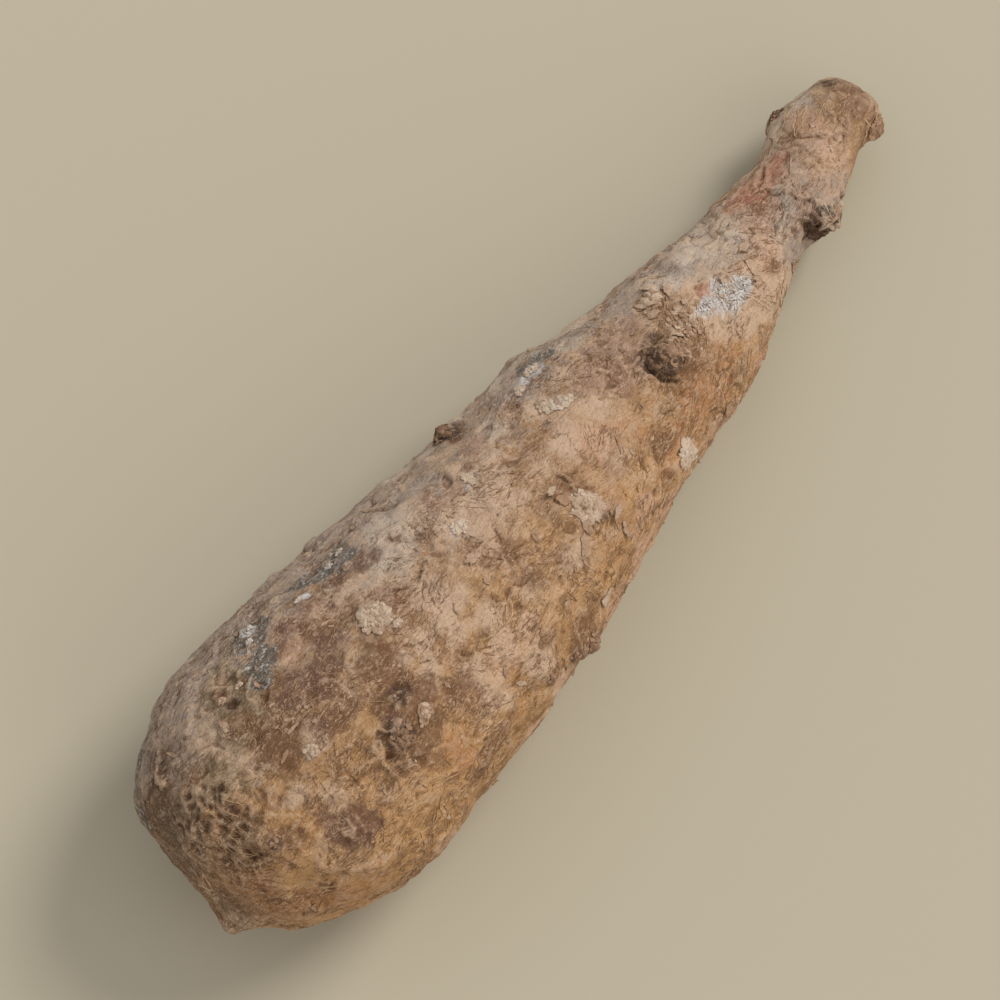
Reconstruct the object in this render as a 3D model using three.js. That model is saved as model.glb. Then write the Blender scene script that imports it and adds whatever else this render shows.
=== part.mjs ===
// A root crop as picked: a long club-shaped tuber that lies on its flattened belly.
// Lengths are millimetres. +X runs along the root from its fat end to its neck,
// +Y points to its left, +Z is up, and it rests on z = 0.
// The whole root grew as one piece, so it is one closed solid.

import * as THREE from 'three';
import { mergeVertices } from 'three/addons/utils/BufferGeometryUtils.js';

// How finely the skin is cut into facets.
const FACETS_AROUND = 56;
const FACETS_ALONG = 54;

// How far the round belly is pressed flat where the root rests.
const BELLY_FLAT_DEPTH = 2.2;

// The sections are a little fuller than an ellipse.
const SECTION_FULLNESS = 0.94;

// How closely the outline's curves hug their stations.
const CURVE_TENSION = 0.5;

// Halvings that find a place along the outline.
const SEARCH_STEPS = 40;

// The outline from the tail nub to the top of the neck: how far along, the left and
// right edges seen from above, the height of the top and the height of the underside.
const STATIONS = [
  { along: 0, left: -11.5, right: -11.5, top: 38, under: 38 },
  { along: 3, left: -6, right: -15.5, top: 43, under: 33 },
  { along: 6.5, left: 13, right: -18, top: 54, under: 26 },
  { along: 10, left: 29, right: -22, top: 70, under: 17 },
  { along: 16, left: 37, right: -30, top: 80, under: 9 },
  { along: 28, left: 43.5, right: -38.5, top: 88, under: 3.5 },
  { along: 44, left: 48.5, right: -46, top: 92, under: 0.8 },
  { along: 62, left: 49, right: -47.5, top: 93, under: 0 },
  { along: 86, left: 47, right: -47.5, top: 91, under: 0 },
  { along: 112, left: 43.5, right: -47, top: 87, under: 0 },
  { along: 140, left: 39, right: -43.5, top: 80, under: 0.5 },
  { along: 169, left: 33.5, right: -40.5, top: 73, under: 2.5 },
  { along: 198, left: 33.5, right: -34, top: 66, under: 3 },
  { along: 224, left: 26.5, right: -30.5, top: 58, under: 1 },
  { along: 250, left: 23.5, right: -27.5, top: 50, under: 0 },
  { along: 271, left: 19, right: -20.5, top: 42, under: 1.5 },
  { along: 289, left: 18.5, right: -14, top: 36, under: 4 },
  { along: 304, left: 15.5, right: -15, top: 34, under: 5 },
  { along: 318, left: 21, right: -12, top: 36, under: 5 },
  { along: 330, left: 20.5, right: -7, top: 35, under: 7 },
  { along: 339, left: 18, right: -6.5, top: 33, under: 9 },
  { along: 345, left: 15, right: -5, top: 29, under: 13 },
  { along: 348, left: 6, right: 6, top: 21, under: 21 },
];

// Knobs, swellings and hollows of the skin: where along, which way round in degrees
// (0 is the left side, 90 the top, 180 the right side), how wide and how far out.
const SWELLINGS = [
  // The rough knob on top, two thirds of the way to the neck.
  { along: 229, around: 98, width: 12, out: 5 },
  // Small knobs on the flanks.
  { along: 166, around: 20, width: 7, out: 4 },
  { along: 142, around: 166, width: 8, out: 3.5 },
  { along: 128, around: 160, width: 7, out: 2.5 },
  { along: 233, around: 172, width: 7, out: 2.5 },
  // The lip below the neck's ring, and the hollow under it.
  { along: 304, around: 158, width: 7, out: 6 },
  { along: 293, around: 145, width: 6, out: -3 },
  // Blunt knobs and shallow hollows of the fat end.
  { along: 74, around: 119, width: 11, out: 3.5 },
  { along: 24, around: 112, width: 10, out: 3 },
  { along: 44, around: 131, width: 15, out: 2.5 },
  { along: 49, around: 57, width: 7, out: -2.5 },
  { along: 104, around: 50, width: 17, out: -2 },
  { along: 77, around: 76, width: 18, out: -1.6 },
  // Long low swellings of the body, on top and underneath.
  { along: 150, around: 95, width: 26, out: 1.8 },
  { along: 200, around: 60, width: 22, out: 1.5 },
  { along: 120, around: 250, width: 24, out: 2 },
  { along: 205, around: 235, width: 16, out: 2.5 },
  { along: 60, around: 215, width: 20, out: 2 },
];

// A slow wave of the whole skin, so that no stretch is perfectly round.
const WAVE_HEIGHT = 0.7;
const WAVE_LENGTH = 46;
const WAVE_SLANT = 70;
const WAVE_DEPTH = 82;

// The swellings fade out this sharply towards the root's two tips.
const TIP_FADE = 0.25;

const BARK = new THREE.MeshStandardMaterial({ color: 0x9a7b61, roughness: 0.92, metalness: 0 });

// A smooth open curve through a list of points.
function through(points) {
  return new THREE.CatmullRomCurve3(points, false, 'catmullrom', CURVE_TENSION);
}

const edges = through(STATIONS.map((s) => new THREE.Vector3(s.along, s.left, s.right)));
const heights = through(STATIONS.map((s) => new THREE.Vector3(s.along, s.top, s.under)));

// The share of the outline's points that lies before a distance along the root.
function shareAt(along) {
  let low = 0;
  let high = 1;
  for (let step = 0; step < SEARCH_STEPS; step += 1) {
    const middle = (low + high) / 2;
    if (edges.getPoint(middle).x < along) low = middle;
    else high = middle;
  }
  return low;
}

// A point of the plain skin, before its swellings.
function plainSkin(share, angle) {
  const edge = edges.getPoint(share);
  const height = heights.getPoint(share);
  const side = Math.cos(angle);
  const rise = Math.sin(angle);
  const fuller = (value) => Math.sign(value) * Math.abs(value) ** SECTION_FULLNESS;
  return new THREE.Vector3(
    edge.x,
    (edge.y + edge.z) / 2 + (fuller(side) * (edge.y - edge.z)) / 2,
    (height.y + height.z) / 2 + (fuller(rise) * (height.y - height.z)) / 2,
  );
}

// The way out of the root at a point of a section.
function wayOut(angle) {
  return new THREE.Vector3(0, Math.cos(angle), Math.sin(angle));
}

const swellings = SWELLINGS.map((swelling) => ({
  ...swelling,
  centre: plainSkin(shareAt(swelling.along), THREE.MathUtils.degToRad(swelling.around)),
}));

// How far the finished skin stands out from the plain one.
function standOut(point) {
  const turn = 2 * Math.PI;
  let out = 0;
  for (const { centre, width, out: most } of swellings) {
    const distance = point.distanceTo(centre) / width;
    out += most * Math.exp(-distance * distance);
  }
  const wave = Math.sin(turn * (point.x / WAVE_LENGTH + point.y / WAVE_SLANT));
  return out + WAVE_HEIGHT * wave * Math.cos(turn * point.z / WAVE_DEPTH);
}

// A point of the finished skin: swellings added, and the belly pressed flat on z = 0.
function finishedSkin(share, angle) {
  const point = plainSkin(share, angle);
  const fade = Math.sin(Math.PI * share) ** TIP_FADE;
  point.addScaledVector(wayOut(angle), standOut(point) * fade);
  point.z = Math.max(point.z - BELLY_FLAT_DEPTH, 0);
  return point;
}

// A unit sphere's rows become the root's sections, from the tail nub to the neck.
function rootGeometry() {
  const sphere = new THREE.SphereGeometry(1, FACETS_AROUND, FACETS_ALONG);
  const position = sphere.getAttribute('position');
  for (let index = 0; index < position.count; index += 1) {
    const share = Math.acos(THREE.MathUtils.clamp(position.getY(index), -1, 1)) / Math.PI;
    const angle = Math.atan2(position.getZ(index), position.getX(index));
    const point = finishedSkin(share, angle);
    position.setXYZ(index, point.x, point.y, point.z);
  }
  sphere.deleteAttribute('normal');
  sphere.deleteAttribute('uv');
  const skin = mergeVertices(sphere, 0.001);
  skin.computeBoundingBox();
  const box = skin.boundingBox;
  skin.translate(-(box.min.x + box.max.x) / 2, -(box.min.y + box.max.y) / 2, -box.min.z);
  skin.computeVertexNormals();
  return skin;
}

const root = new THREE.Mesh(rootGeometry(), BARK);
root.name = 'taro_root';

const part = new THREE.Group();
part.add(root);

export default part;
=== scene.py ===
# %% [markdown]
# # A root crop with living bark
#
# This lesson dresses one finished solid: a long club-shaped root, as dug and laid on a
# table. Its size and form are settled in the frame, and here it gets its skin: knobs,
# cracks, flaking crust, dusty patches and the mat of fine fibres that a root wears.
# We load the frame first, because every place below is measured from it.

import copy
import math
import random

import bmesh
import bpy
import numpy as np
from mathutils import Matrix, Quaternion, Vector, noise
from mathutils.bvhtree import BVHTree


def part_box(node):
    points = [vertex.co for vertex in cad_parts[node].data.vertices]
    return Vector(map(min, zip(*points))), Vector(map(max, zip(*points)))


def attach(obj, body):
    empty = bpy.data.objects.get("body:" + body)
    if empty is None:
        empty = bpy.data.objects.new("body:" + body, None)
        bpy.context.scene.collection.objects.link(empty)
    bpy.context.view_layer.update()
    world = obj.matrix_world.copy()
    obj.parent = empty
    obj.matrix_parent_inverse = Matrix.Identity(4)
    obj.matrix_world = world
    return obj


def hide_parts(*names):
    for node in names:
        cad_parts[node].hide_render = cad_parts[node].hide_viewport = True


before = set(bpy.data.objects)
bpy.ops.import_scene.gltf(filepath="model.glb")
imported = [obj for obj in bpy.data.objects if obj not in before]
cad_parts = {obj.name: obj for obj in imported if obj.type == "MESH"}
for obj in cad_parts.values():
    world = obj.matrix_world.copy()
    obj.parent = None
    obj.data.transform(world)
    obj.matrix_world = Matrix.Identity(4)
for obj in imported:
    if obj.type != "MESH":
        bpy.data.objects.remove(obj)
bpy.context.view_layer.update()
MM = 0.001
LOW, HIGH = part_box("taro_root")
LENGTH = HIGH.x - LOW.x

# Chance and noise both start from one number, so that the root comes out alike each time.
SEED = 7
random.seed(SEED)
noise.seed_set(SEED)
print(f"the root is {LENGTH / MM:.0f} mm long and {(HIGH.z - LOW.z) / MM:.0f} mm high")

# %% [markdown]
# ## Camera, lamps and floor
#
# The root lies down, so we look down on it, steeply, with a long lens that keeps both
# ends at one scale. A pale floor, an even sky and one broad soft lamp from the neck's
# side show the bark's relief and still let a colour come out about as it is written.

# %% Camera
VIEW_TURN = math.radians(-51.4)
VIEW_HEIGHT = math.radians(75)
VIEW_DISTANCE = 1.6
AIM = Vector((-12.0, 7.7, 33.8)) * MM
LENS = 180.9


def direction(turn, height):
    """The unit vector towards a viewer or lamp at that turn about +Z and height."""
    flat = math.cos(height)
    return Vector((math.sin(turn) * flat, -math.cos(turn) * flat, math.sin(height)))


camera = bpy.data.objects.new("camera", bpy.data.cameras.new("camera"))
bpy.context.scene.collection.objects.link(camera)
camera.location = AIM + direction(VIEW_TURN, VIEW_HEIGHT) * VIEW_DISTANCE
camera.rotation_euler = (AIM - camera.location).to_track_quat("-Z", "Y").to_euler()
camera.data.lens = LENS
bpy.context.scene.camera = camera
bpy.context.scene.view_settings.view_transform = "Standard"
print(f"the camera looks down at {math.degrees(VIEW_HEIGHT):.0f} degrees from {VIEW_DISTANCE} m")

# %% Lamps and sky


def sun(name, turn, height, strength, softness, tint):
    """A far lamp, so that the whole floor gets the same light."""
    lamp = bpy.data.lights.new(name, "SUN")
    lamp.energy = strength
    lamp.angle = math.radians(softness)
    lamp.color = tint
    lamp_object = bpy.data.objects.new(name, lamp)
    towards = direction(math.radians(turn), math.radians(height))
    lamp_object.rotation_euler = towards.to_track_quat("Z", "Y").to_euler()
    bpy.context.scene.collection.objects.link(lamp_object)


sun("key_lamp", turn=76, height=46, strength=1.65, softness=24, tint=(1.0, 0.985, 0.96))
sun("fill_lamp", turn=8, height=30, strength=0.45, softness=60, tint=(1.0, 0.93, 0.84))

SKY_TINT = (0.97, 0.985, 1.0, 1)
SKY_STRENGTH = 0.58

world = bpy.data.worlds.new("sky")
bpy.context.scene.world = world
world.use_nodes = True
backdrop = world.node_tree.nodes["Background"]
backdrop.inputs["Color"].default_value = SKY_TINT
backdrop.inputs["Strength"].default_value = SKY_STRENGTH
lamps = [piece for piece in bpy.context.scene.objects if piece.type == "LIGHT"]
print(f"{len(lamps)} lamps and an even sky")

# %% [markdown]
# Colours are easiest to name as they look on a screen, from 0 to 255, and a shader
# wants them as amounts of light. One helper turns the first into the second.

# %% Colours and floor


def colour(red, green, blue):
    """A screen colour, 0 to 255, as linear light with full opacity."""
    linear = []
    for value in (red, green, blue):
        share = value / 255
        linear.append(share / 12.92 if share <= 0.04045 else ((share + 0.055) / 1.055) ** 2.4)
    return (*linear, 1.0)


FLOOR_COLOUR = colour(190, 180, 158)
FLOOR_SIZE = 8
FLOOR_DROP = 0.05 * MM

bpy.ops.object.select_all(action="DESELECT")
bpy.ops.mesh.primitive_plane_add(size=FLOOR_SIZE, location=(0, 0, -FLOOR_DROP))
floor = bpy.context.object
floor.name = "floor"
floor_paint = bpy.data.materials.new("floor_paint")
floor_paint.use_nodes = True
dull_finish = floor_paint.node_tree.nodes["Principled BSDF"]
dull_finish.inputs["Base Color"].default_value = FLOOR_COLOUR
dull_finish.inputs["Roughness"].default_value = 0.9
dull_finish.inputs["Specular IOR Level"].default_value = 0.0
floor.data.materials.append(floor_paint)
print(f"the floor lies {FLOOR_DROP / MM:.2f} mm below the root")

# %% [markdown]
# ## A skin to work on
#
# The real root grew as one body, so its skin is one closed mesh. Extruding rings from a
# circle would repeat a form that the frame already holds exactly. So we take a copy of
# the solid, weld its loose triangles, join them to quads and smooth it once. That is a
# light cage on which knobs can be pulled out by hand.

# %% Small helpers for picking and for modifiers


def pick(piece):
    """Only this piece is selected and active, in object mode."""
    if bpy.context.mode != "OBJECT":
        bpy.ops.object.mode_set(mode="OBJECT")
    bpy.ops.object.select_all(action="DESELECT")
    piece.select_set(True)
    bpy.context.view_layer.objects.active = piece


def apply_modifier(piece, kind, **settings):
    """Adds a modifier, sets it and makes it part of the mesh."""
    pick(piece)
    modifier = piece.modifiers.new(kind.lower(), kind)
    for name, value in settings.items():
        setattr(modifier, name, value)
    bpy.ops.object.modifier_apply(modifier=modifier.name)


def tree_of(piece):
    """A search tree of a piece's faces, for rays and for nearest points."""
    return BVHTree.FromObject(piece, bpy.context.evaluated_depsgraph_get())


def points_of(mesh):
    """The places of a mesh's vertices, as rows of x, y, z."""
    places = np.empty(len(mesh.vertices) * 3, np.float32)
    mesh.vertices.foreach_get("co", places)
    return places.reshape(-1, 3).astype(float)


def normals_of(mesh):
    """The directions in which a mesh's vertices face."""
    ways = np.empty(len(mesh.vertices) * 3, np.float32)
    mesh.vertex_normals.foreach_get("vector", ways)
    return ways.reshape(-1, 3).astype(float)


def move_points(mesh, places):
    """Puts a mesh's vertices at those places."""
    mesh.vertices.foreach_set("co", places.astype(np.float32).ravel())
    mesh.update()


# %% Copy and weld the body
WELD_GAP = 0.01 * MM

skin = bpy.data.objects.new("root_skin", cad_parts["taro_root"].data.copy())
bpy.context.scene.collection.objects.link(skin)
pick(skin)
bpy.ops.object.mode_set(mode="EDIT")
bpy.ops.mesh.select_all(action="SELECT")
bpy.ops.mesh.customdata_custom_splitnormals_clear()
bpy.ops.mesh.remove_doubles(threshold=WELD_GAP)
bpy.ops.mesh.tris_convert_to_quads()
bpy.ops.object.mode_set(mode="OBJECT")
apply_modifier(skin, "SUBSURF", levels=1, render_levels=1)
print(f"the cage has {len(skin.data.polygons)} faces")

# %% [markdown]
# Marks on a root are easiest to name as a grower would point at them: how far along from
# the fat end, and how far round. `on_skin` turns such a name into a point and the way
# the skin faces there, by shooting a ray from the root's core line.

# %% Find a place on the skin
CORE_STEP = 3 * MM
cage_points = points_of(skin.data)
core = []
for step in range(int(LENGTH / CORE_STEP) + 1):
    at = LOW.x + step * CORE_STEP
    slab = cage_points[abs(cage_points[:, 0] - at) < 2 * CORE_STEP]
    middle = (slab.min(0) + slab.max(0)) / 2
    core.append((middle[1], middle[2]))
core = np.array(core)
skin_tree = tree_of(skin)
print(f"the core line runs through {len(core)} places")
TIP_REACH = 6 * MM
SAME_PLACE = 0.1 * MM


def on_skin(along, around):
    """The point and facing of the skin, `along` mm from the fat end, `around` degrees."""
    at = min(max(along * MM, TIP_REACH), LENGTH - TIP_REACH)
    row = min(int(at / CORE_STEP), len(core) - 1)
    start = Vector((LOW.x + at, *core[row]))
    turn = math.radians(around)
    way = Vector((0, math.cos(turn), math.sin(turn)))
    place, facing, _, _ = skin_tree.ray_cast(start, way)
    if abs(at - along * MM) > SAME_PLACE:
        beyond = Vector((along * MM - at, 0, 0))
        place, facing, _, _ = skin_tree.find_nearest(place + beyond)
    return place, facing


# %% [markdown]
# ## Knobs and lips, pulled out one by one
#
# Buds, scars of side roots and the ring where the neck broke stand out as knobs. On the
# light cage each is one pull with proportional editing, as you would grab a vertex and
# drag it: the neighbours follow softly.

# %% Pull the knobs
# along, around, how far out and how wide in mm
PULLS = [
    (228, 99, 2.4, 11),
    (163, 27, 1.6, 7),
    (139, 168, 2.6, 7),
    (133, 162, 1.8, 6),
    (122, 157, 1.2, 8),
    (306, 156, 1.4, 9),
    (297, 152, -1.8, 9),
    (320, 19, 1.0, 8),
    (340, 182, 0.9, 8),
    (341, 44, -1.5, 8),
    (345, 140, 1.3, 8),
    (86, 118, 1.5, 11),
    (72, 118, 1.2, 10),
    (230, 172, 1.2, 7),
    (66, 178, 1.0, 9),
    (20, 45, 1.6, 9),
    (100, 90, 1.0, 9),
    (240, 62, 1.2, 10),
    (24, 111, 1.2, 7),
]


def pull(piece, along, around, out, wide):
    """Drags the skin outwards at one place, with its neighbours."""
    place, facing = on_skin(along, around)
    pick(piece)
    bpy.ops.object.mode_set(mode="EDIT")
    bpy.ops.mesh.select_all(action="DESELECT")
    cage = bmesh.from_edit_mesh(piece.data)
    nearest = min(cage.verts, key=lambda vertex: (vertex.co - place).length)
    nearest.select_set(True)
    bmesh.update_edit_mesh(piece.data)
    bpy.ops.transform.translate(
        value=facing * out * MM,
        use_proportional_edit=True,
        proportional_edit_falloff="SMOOTH",
        proportional_size=wide * MM,
    )
    bpy.ops.object.mode_set(mode="OBJECT")


for along, around, out, wide in PULLS:
    pull(skin, along, around, out, wide)
skin_tree = tree_of(skin)
print(f"pulled the skin at {len(PULLS)} places")

# %% [markdown]
# ## Warts
#
# A knob's head is a cluster of small warts with dark gaps between them. One wart is an
# ico sphere, stretched and dented. Copies are packed like seeds in a flower head and
# joined to the cage, and the remesh after this grows them into the skin.

# %% A frame on the skin for each mark


class Spot:
    """A place on the skin with its own axes: `ahead` to the neck, `aside`, and out."""

    def __init__(self, along, around, turn=0):
        self.place, self.out = on_skin(along, around)
        ahead = Vector((1, 0, 0))
        ahead = (ahead - ahead.dot(self.out) * self.out).normalized()
        ahead.rotate(Quaternion(self.out, math.radians(turn)))
        self.ahead = ahead
        self.aside = self.out.cross(ahead)

    def measure(self, points):
        """How far each point lies ahead and aside, and how far off in all."""
        away = points - np.array(self.place)
        return away @ np.array(self.ahead), away @ np.array(self.aside), np.linalg.norm(away, axis=1)

    def at(self, ahead, aside, out=0.0):
        """The point that lies so far ahead, aside and out, in mm."""
        return self.place + (self.ahead * ahead + self.aside * aside + self.out * out) * MM

    def moved(self, ahead, aside, turn):
        """A new spot so far off on the skin, in mm, turned by so many degrees."""
        other = copy.copy(self)
        other.place, _, _, _ = skin_tree.find_nearest(self.at(ahead, aside))
        other.ahead = Quaternion(self.out, math.radians(turn)) @ self.ahead
        other.aside = self.out.cross(other.ahead)
        return other


# %% One wart, copied into clusters
bpy.ops.object.select_all(action="DESELECT")
bpy.ops.mesh.primitive_ico_sphere_add(subdivisions=3, radius=1)
wart = bpy.context.object
wart.name = "wart"
warts = []
GOLDEN_TURN = math.radians(137.5)
DENT_DEPTH = 0.35
DENT_SPREAD = 1.6
OWN_DENTS = 900


def add_wart(place, size):
    """A copy of the wart, stretched and dented in its own way."""
    twin = bpy.data.objects.new("wart_copy", wart.data.copy())
    bpy.context.scene.collection.objects.link(twin)
    stretch = Vector([random.uniform(0.75, 1.25) for _ in range(3)]) * size * MM
    for vertex in twin.data.vertices:
        dent = 1 + DENT_DEPTH * noise.noise(vertex.co * DENT_SPREAD + place * OWN_DENTS)
        vertex.co = vertex.co * stretch * dent + place
    warts.append(twin)


WART_SUNK = 0.2


def knob(along, around, size, out, count, turn=0, narrow=1.0):
    """A packed cluster of warts, highest in its middle."""
    spot = Spot(along, around, turn)
    for index in range(count):
        reach = math.sqrt((index + 0.5) / count)
        angle = GOLDEN_TURN * index
        ahead = reach * size * math.cos(angle)
        aside = reach * size * narrow * math.sin(angle)
        near, _, _, _ = skin_tree.find_nearest(spot.at(ahead, aside, 1))
        lift = out * (1 - reach**2) * random.uniform(0.5, 1.0)
        add_wart(near + spot.out * (lift - WART_SUNK) * MM, random.uniform(0.08, 0.2) * size + 0.3)


# along, around, size and how far out in mm, warts, turn, how narrow
KNOBS = [
    (229, 101, 7.2, 2.2, 60),
    (164, 26, 4.0, 1.0, 20),
    (139, 167, 3.8, 1.2, 12),
    (135, 163, 2.8, 0.8, 8),
    (122, 157, 2.4, 0.8, 5),
    (73, 119, 5.4, 1.4, 18, 20, 0.8),
    (86, 120, 4.0, 1.0, 12),
    (45, 131, 6.0, 0.6, 14),
    (24, 111, 3.0, 1.0, 6),
    (100, 90, 2.2, 0.8, 5),
    (48, 54, 2.0, 0.6, 4),
    (340, 182, 3.4, 0.8, 10),
    (321, 20, 2.6, 0.3, 8),
    (3, 110, 3.0, 0.6, 8),
    (98, 81, 5.0, 0.3, 22),
    (240, 62, 6.0, 0.5, 12, 30, 0.5),
]
for row in KNOBS:
    knob(*row)

# Three large lobes, half sunk, make the lip at the neck: along, around, size, how deep
LIP_LOBES = [(306, 146, 4.8, 3.0), (305, 157, 4.4, 2.6), (310, 152, 4.4, 3.0)]
for along, around, size, sunk in LIP_LOBES:
    add_wart(Spot(along, around).at(0, 0, -sunk), size)
print(f"{len(warts)} warts")

pick(skin)
for twin in warts:
    twin.select_set(True)
bpy.ops.object.join()
bpy.data.objects.remove(wart)

# %% [markdown]
# ## A fine even skin
#
# Bark needs detail of a millimetre or two. A voxel remesh lays an even net of faces over
# the cage and its warts, so that cracks and crust can run any way.

# %% Remesh
SKIN_NET = 0.8 * MM
apply_modifier(skin, "REMESH", mode="VOXEL", voxel_size=SKIN_NET, use_smooth_shade=True)
print(f"the skin has {len(skin.data.polygons)} faces")

# %% [markdown]
# A root's relief is uneven in an even way, and noise describes that well. These helpers
# give waves, swirls and cells of a size in mm at every point of the skin.

# %% Noise on the skin


def grid_of(points, size, stretch=(1, 1, 1), turn=0, seed=0.0):
    """Points in waves of that size in mm, longer where stretched and turned about Z."""
    angle = math.radians(turn)
    turned = points.copy()
    turned[:, 0] = points[:, 0] * math.cos(angle) + points[:, 1] * math.sin(angle)
    turned[:, 1] = points[:, 1] * math.cos(angle) - points[:, 0] * math.sin(angle)
    return turned / (np.array(stretch) * size * MM) + seed


def waves(points, size, layers, **settings):
    """Layered noise from about -1 to 1."""
    grid = grid_of(points, size, **settings).tolist()
    return np.array([noise.fractal(spot, 1.0, 2.0, layers) for spot in grid])


def swirled(points, size, amount, seed):
    """The points pushed about by slow noise, so that a grain laid on them curls."""
    grid = grid_of(points, size, seed=seed).tolist()
    return points + amount * MM * np.array([noise.noise_vector(spot) for spot in grid])


def cells(points, size, **settings):
    """For scattered seeds: how near the nearest is, how near an edge, and a random height."""
    rows = []
    for spot in grid_of(points, size, **settings).tolist():
        (first, second, _, _), seeds = noise.voronoi(spot)
        rows.append((first, second - first, noise.cell(seeds[0] * 7.3)))
    return np.array(rows).T


def smooth_step(values, low, high):
    """0 below low, 1 above high and a soft rise between."""
    share = np.clip((values - low) / (high - low), 0, 1)
    return share * share * (3 - 2 * share)


# %% [markdown]
# ## Relief of the bark
#
# Soil presses a growing root into broad swells and smaller lumps. Blender's own cloud
# texture pushes the skin in and out, once for each of the two sizes.

# %% Broad relief


def relief(piece, size, strength):
    """Pushes the skin in and out in swells of that size, by so many mm in all."""
    texture = bpy.data.textures.new("swells", "CLOUDS")
    texture.noise_scale = size * MM
    texture.noise_depth = 2
    apply_modifier(piece, "DISPLACE", texture=texture, strength=strength * MM, mid_level=0.5)


relief(skin, size=20, strength=2.4)
relief(skin, size=8, strength=1.2)
print(f"with its swells the skin is {np.ptp(points_of(skin.data)[:, 2]) / MM:.1f} mm high")

# %% [markdown]
# Between the knobs the bark is matted and wrinkled in some stretches and nearly smooth in
# others. One slow noise says where it is matted. There the skin gets sharp little ridges,
# long in the grain's direction, and thin plates with raised rims. For these small shapes
# we leave the hand tools and move the points in code, as a sculpting brush would.

# %% Points of the skin, and where it is matted
places = points_of(skin.data)
ways = normals_of(skin.data)
side = places[:, 1] / (HIGH.y - LOW.y)
reach = (places[:, 0] - LOW.x) / LENGTH
curled = swirled(places, 22, 9, 4.0)
matted = smooth_step(waves(curled, 15, 3, seed=3.1), -0.16, 0.2)
matted *= 1 - 0.6 * smooth_step(reach, 0.88, 0.94)
print(f"matted on {100 * matted.mean():.0f}% of the skin")

# %% Wrinkles, along the root at its sides and mixed on its back
RIDGE_SHARPNESS = 2.6


def ridges(points, size, layers, **settings):
    """Sharp ridges: 1 on a crest, and lower the further from one."""
    return 1 - RIDGE_SHARPNESS * np.abs(waves(points, size, layers, **settings))


with_grain = ridges(curled, 3.6, 3, stretch=(3.2, 1, 1), turn=6, seed=8.0)
across = ridges(curled, 3.4, 3, stretch=(2.6, 1, 1), turn=-58, seed=5.0)
slanted = ridges(curled, 3.0, 2, stretch=(2.4, 1, 1), turn=48, seed=9.0)
chosen = waves(places, 16, 2, seed=11.0)
on_back = smooth_step(0.34 - np.abs(side), -0.04, 0.08)
wrinkles = with_grain + on_back * smooth_step(chosen, -0.1, 0.05) * (across - with_grain)
wrinkles += on_back * smooth_step(-chosen, 0.12, 0.25) * (slanted - with_grain)
wrinkles = np.clip(wrinkles, -1.2, 1)
print(f"{100 * (wrinkles > 0).mean():.0f}% of the skin is on a ridge")

# %% Crinkle, lumps and folds, all in mm
WRINKLE = 0.05
MATTED_WRINKLE = 0.19
CRINKLE = 0.05
MATTED_CRINKLE = 0.13
LUMP = 0.6
FOLD = 0.34

crinkle = waves(curled, 1.9, 2, seed=21.0)
lumps = waves(curled, 6, 3, seed=31.0)
folds = ridges(swirled(places, 30, 16, 3.0), 9, 2, stretch=(2.6, 1, 1), turn=20, seed=41.0)
shape = wrinkles * (WRINKLE + MATTED_WRINKLE * matted) + crinkle * (CRINKLE + MATTED_CRINKLE * matted)
shape += lumps * LUMP
shape += FOLD * np.clip(folds, -1, 1) * (1 - 0.4 * smooth_step(reach, 0.55, 0.75))
print(f"the relief spreads {shape.std():.2f} mm")

# %% Ribs along the upper flank of the fat end
RIB = 0.34

ribs = ridges(swirled(places, 20, 5, 2.0), 2.1, 2, stretch=(5, 1, 1), turn=-6, seed=12.0)
flank = Spot(46, 44).measure(places)
flank = smooth_step(1.4 - np.hypot(flank[0] / (26 * MM), flank[1] / (15 * MM)), 0, 0.6)
shape += RIB * flank * ribs
print(f"ribbed on {100 * (flank > 0).mean():.0f}% of the skin")

# %% Thin plates that flake
PLATE_STEP = 0.75
RAISED_RIM = 0.3

_, edge_off, height = cells(swirled(places, 6, 4, 1.0), 7.5, stretch=(1.5, 1, 1), seed=2.0)
plated = smooth_step(waves(places, 19, 2, seed=17.0), -0.02, 0.25)
rim = smooth_step(edge_off, 0.0, 0.16)
shape += plated * (PLATE_STEP * (height - 0.5) * rim + RAISED_RIM * (1 - rim) * (height > 0.55))
places += ways * (shape * MM)[:, None]
print(f"plated on {100 * plated.mean():.0f}% of the skin")

# %% [markdown]
# ## Cracks, creases and pits
#
# Dry bark splits where the root swelled, creases where the neck bent, and has small holes
# where side roots died. A sculptor would draw each with a crease brush. Here each one is a
# stroke through named places, and a field keeps the painted shade inside it.

# %% Sculpting tools


def raise_spot(spot, length, width, out, rough=0.3):
    """A swelling or hollow with an uneven edge, in mm."""
    ahead, aside, off = spot.measure(places)
    near = off < 1.7 * max(length, width) * MM
    reach = np.hypot(ahead[near] / (length * MM), aside[near] / (width * MM))
    reach += rough * waves(places[near], 0.45 * max(length, width), 2, seed=out)
    bump = np.clip(1 - np.clip(reach, 0, 2) ** 2, 0, 1)
    bump = bump * bump * (3 - 2 * bump)
    places[near] += ways[near] * (bump * out * MM)[:, None]


def distance_to_line(points, line):
    """How far each point is from a broken line, and on which side of it."""
    best = np.full(len(points), 1.0)
    side = np.zeros(len(points))
    for (start, out), (end, _) in zip(line, line[1:]):
        run = np.array(end - start)
        share = np.clip((points - np.array(start)) @ run / (run @ run), 0, 1)
        away = points - (np.array(start) + share[:, None] * run)
        off = np.linalg.norm(away, axis=1)
        closer = off < best
        best[closer] = off[closer]
        across = np.cross(np.array(out), run)
        side[closer] = np.sign(away[closer] @ across)
    return best, side


# Painted shade inside cracks, pits and pocks, from 0 to 1.
hollow_shade = np.zeros(len(places))
CRACK_REACH = 14
WANDER = 1.6


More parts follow.
